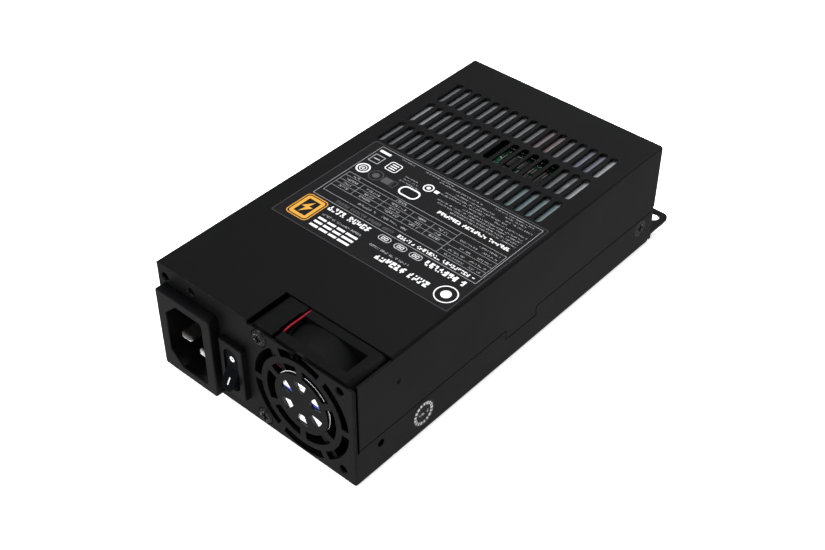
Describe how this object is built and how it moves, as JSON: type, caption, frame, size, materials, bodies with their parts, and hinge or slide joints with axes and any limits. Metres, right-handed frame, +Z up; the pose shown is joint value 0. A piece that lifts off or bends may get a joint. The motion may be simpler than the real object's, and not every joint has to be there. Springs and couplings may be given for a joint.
{
  "type": "power supply unit",
  "caption": "Flat computer power supply: black folded steel case with AC inlet, rocker switch and small fan at one end, vent slots and label on top, output sockets at the other.",
  "frame": {"origin": "middle of the casing's resting face, under the centre of the 81.5 by 150 mm box", "axes": "+Z up from the resting face, +Y from the inlet and fan panel to the output sockets, +X towards the fan side"},
  "size_m": [0.0816, 0.1679, 0.0406],
  "materials": {
    "case_paint": "satin black powder coat",
    "black_screw": "black oxide",
    "label_print": "black printed label",
    "seal_paper": "black paper seal",
    "film": "pale insulating film",
    "tape": "adhesive strip",
    "clear_film": "bottom insulating film",
    "plated_steel": "zinc plated",
    "black_moulding": "moulded black",
    "contact_metal": "nickel plated",
    "copper": "copper",
    "fan_plastic": "glass-filled black",
    "shaft_steel": "ground",
    "bearing_bronze": "sintered bronze",
    "magnet": "bonded magnet",
    "lamination": "stacked laminations",
    "green_board": "solder mask",
    "sticker": "white with a blue band",
    "red_lead": "insulated lead",
    "black_lead": "insulated lead",
    "brown_lead": "insulated lead",
    "blue_lead": "insulated lead",
    "green_lead": "insulated lead",
    "white_moulding": "moulded",
    "fuse_glass": "ceramic body",
    "thermistor_green": "coated disc",
    "film_cap_yellow": "boxed",
    "disc_blue": "coated disc",
    "ferrite": "ferrite",
    "epoxy": "moulded package",
    "tape_wrap": "taped coil",
    "can_sleeve": "sleeved can",
    "bare_aluminium": "plain",
    "tinned_pins": "tin plated",
    "choke_green": "coated core"
  },
  "bodies": {
    "case": {"base_tray": "case_paint", "top_cover": "case_paint", "rear_mount_tab": "case_paint", "cover_screws": "black_screw", "fan_screws": "black_screw", "rating_label": "label_print", "seal_sticker": "seal_paper", "insulation_film": "film", "film_tape": "tape", "bottom_insulator": "clear_film", "pcb_standoffs": "plated_steel", "pcb_screws": "plated_steel", "inlet_housing": "black_moulding", "inlet_pin_earth": "contact_metal", "inlet_pins_supply": "contact_metal", "switch_housing": "black_moulding", "switch_terminals": "contact_metal", "fan_frame": "fan_plastic", "fan_bearing": "bearing_bronze", "fan_stator": "lamination", "fan_windings": "copper", "fan_driver_board": "green_board", "fan_sticker": "sticker", "fan_lead_red": "red_lead", "fan_lead_black": "black_lead", "fan_header": "white_moulding", "wire_line_in": "brown_lead", "wire_line_switched": "brown_lead", "wire_neutral": "blue_lead", "wire_earth": "green_lead", "earth_lug": "plated_steel", "earth_screw": "plated_steel", "main_pcb": "green_board", "fuse": "fuse_glass", "thermistor": "thermistor_green", "x_capacitors": "film_cap_yellow", "y_capacitors": "disc_blue", "choke_core": "choke_green", "choke_windings": "copper", "bridge_rectifier": "epoxy", "pfc_choke": "ferrite", "pfc_winding": "copper", "bulk_capacitor": "can_sleeve", "primary_heatsink": "bare_aluminium", "power_transistors": "epoxy", "transformer_core": "ferrite", "transformer_coil": "tape_wrap", "secondary_heatsink": "bare_aluminium", "standby_transformer": "tape_wrap", "control_board": "green_board", "output_choke": "copper", "output_capacitors": "can_sleeve", "modular_board": "green_board", "modular_sockets": "black_moulding", "socket_pins": "tinned_pins"},
    "fan_rotor": {"fan_impeller": "fan_plastic", "fan_shaft": "shaft_steel", "fan_magnet": "magnet"},
    "rocker": {"switch_rocker": "black_moulding"},
    "contact_lever": {"switch_lever": "copper"}
  },
  "joints": [
    {"name": "fan_spin", "type": "hinge", "parent": "case", "child": "fan_rotor", "pos_m": [0.0194, -0.066, 0.0201], "axis": [0, 1, 0], "continuous": true},
    {"name": "power_switch", "type": "hinge", "parent": "case", "child": "rocker", "pos_m": [-0.0076, -0.0747, 0.0176], "axis": [1, 0, 0], "range_deg": [0, 30]},
    {"name": "contact_tilt", "type": "hinge", "parent": "case", "child": "contact_lever", "pos_m": [-0.0076, -0.0665, 0.0176], "axis": [1, 0, 0], "range_deg": [-18, 0]}
  ],
  "couplings": [
    {"joint": "contact_tilt", "follows": "power_switch", "ratio": -0.6}
  ]
}
